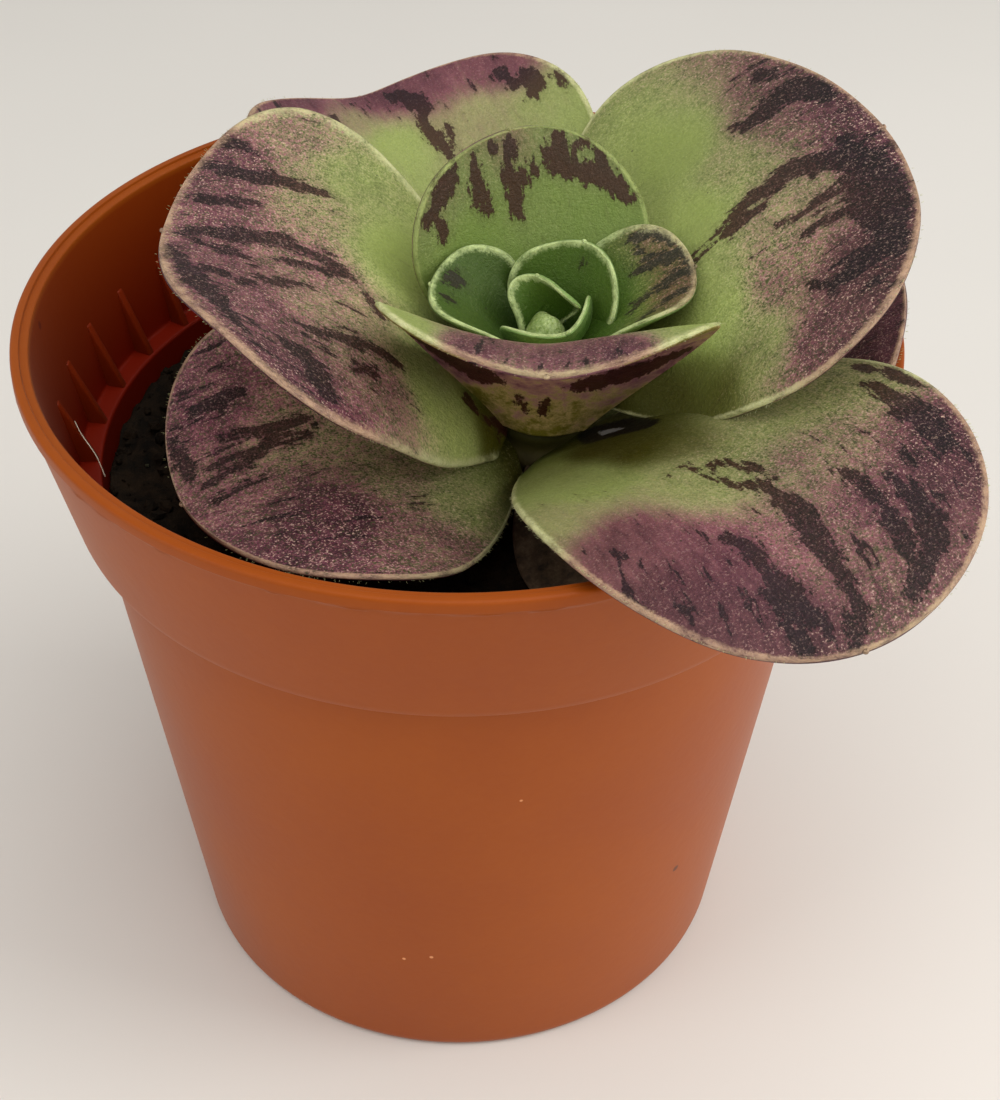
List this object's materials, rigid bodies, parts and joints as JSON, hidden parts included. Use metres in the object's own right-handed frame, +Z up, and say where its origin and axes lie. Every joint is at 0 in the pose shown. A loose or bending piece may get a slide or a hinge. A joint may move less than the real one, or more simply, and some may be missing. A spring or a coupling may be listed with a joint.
{
  "type": "potted succulent plant",
  "caption": "Young aeonium rosette of broad fleshy leaves on a short stem, growing in soil in a round tapered plastic nursery pot.",
  "frame": {"origin": "centre of the pot's flat underside, on the surface it stands on", "axes": "+Z up along the pot's axis; the plant's front, with its longest leaf, is towards -Y"},
  "size_m": [0.0914, 0.1, 0.0971],
  "materials": {
    "pot_plastic": "satin injection-moulded plastic",
    "soil": "damp dark peat, matt",
    "stem": "green-brown fleshy stem, matt",
    "dry_leaf": "dried leaf, matt",
    "green_leaf": "fleshy leaf, satin, mottled purple towards the margin",
    "purple_leaf": "fleshy leaf, satin, mottled purple and green",
    "young_leaf": "fleshy young leaf, satin green with a pale rim"
  },
  "bodies": {
    "root": {"pot": "pot_plastic", "soil": "soil", "stem": "stem", "leaf_withered": "dry_leaf", "leaf_right_low": "purple_leaf", "leaf_right_front": "purple_leaf", "leaf_left_low": "purple_leaf", "leaf_back": "green_leaf", "leaf_left": "green_leaf", "leaf_right_back": "green_leaf", "leaf_front": "green_leaf", "leaf_upright_back": "green_leaf", "leaf_inner_left": "young_leaf", "leaf_inner_right": "young_leaf", "leaf_inner_back": "young_leaf", "heart_bud": "young_leaf"}
  },
  "joints": []
}
